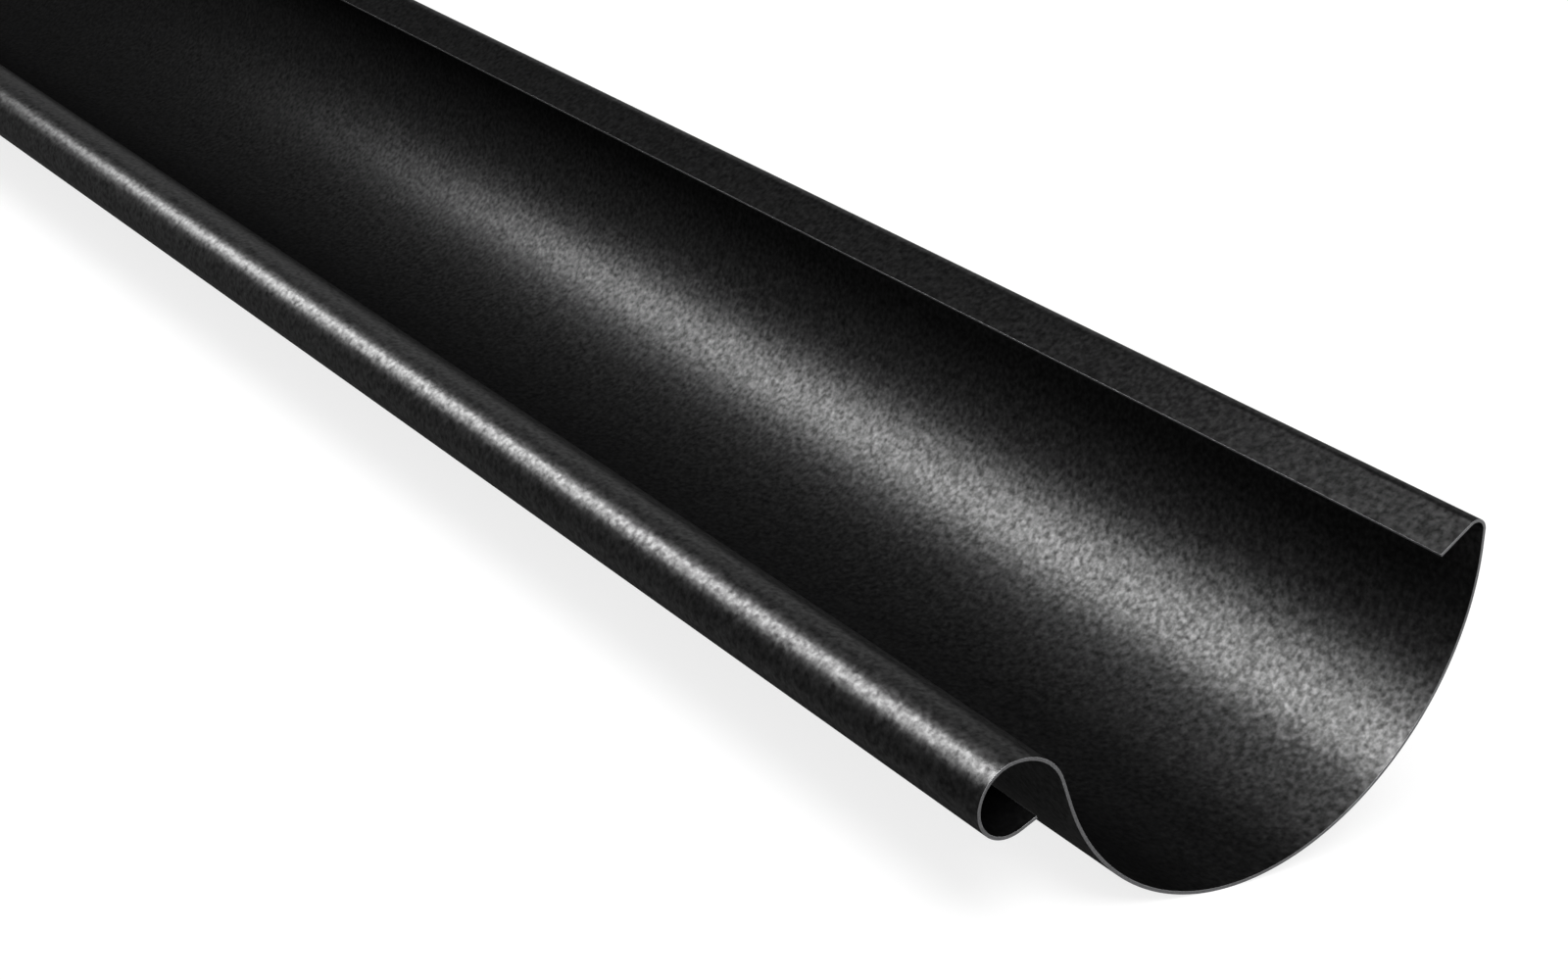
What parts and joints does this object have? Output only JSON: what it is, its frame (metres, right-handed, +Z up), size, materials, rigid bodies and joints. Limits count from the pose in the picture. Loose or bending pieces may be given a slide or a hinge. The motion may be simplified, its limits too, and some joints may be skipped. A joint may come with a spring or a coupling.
{
  "type": "half-round gutter section",
  "caption": "Straight length of half-round roof gutter in black coated sheet steel, with a rolled front bead and a rear edge folded in.",
  "frame": {"origin": "middle of the length and of the lying section's width, on the floor that the trough lies on", "axes": "+X along the length; -Y to the front bead; +Y to the rear edge; +Z up as it lies, rolled 12 degrees bead-down from the way it hangs on a wall"},
  "size_m": [3, 0.1431, 0.0837],
  "materials": {
    "coated_steel": "matt fine-textured coat"
  },
  "bodies": {
    "root": {"gutter_section": "coated_steel"}
  },
  "joints": []
}
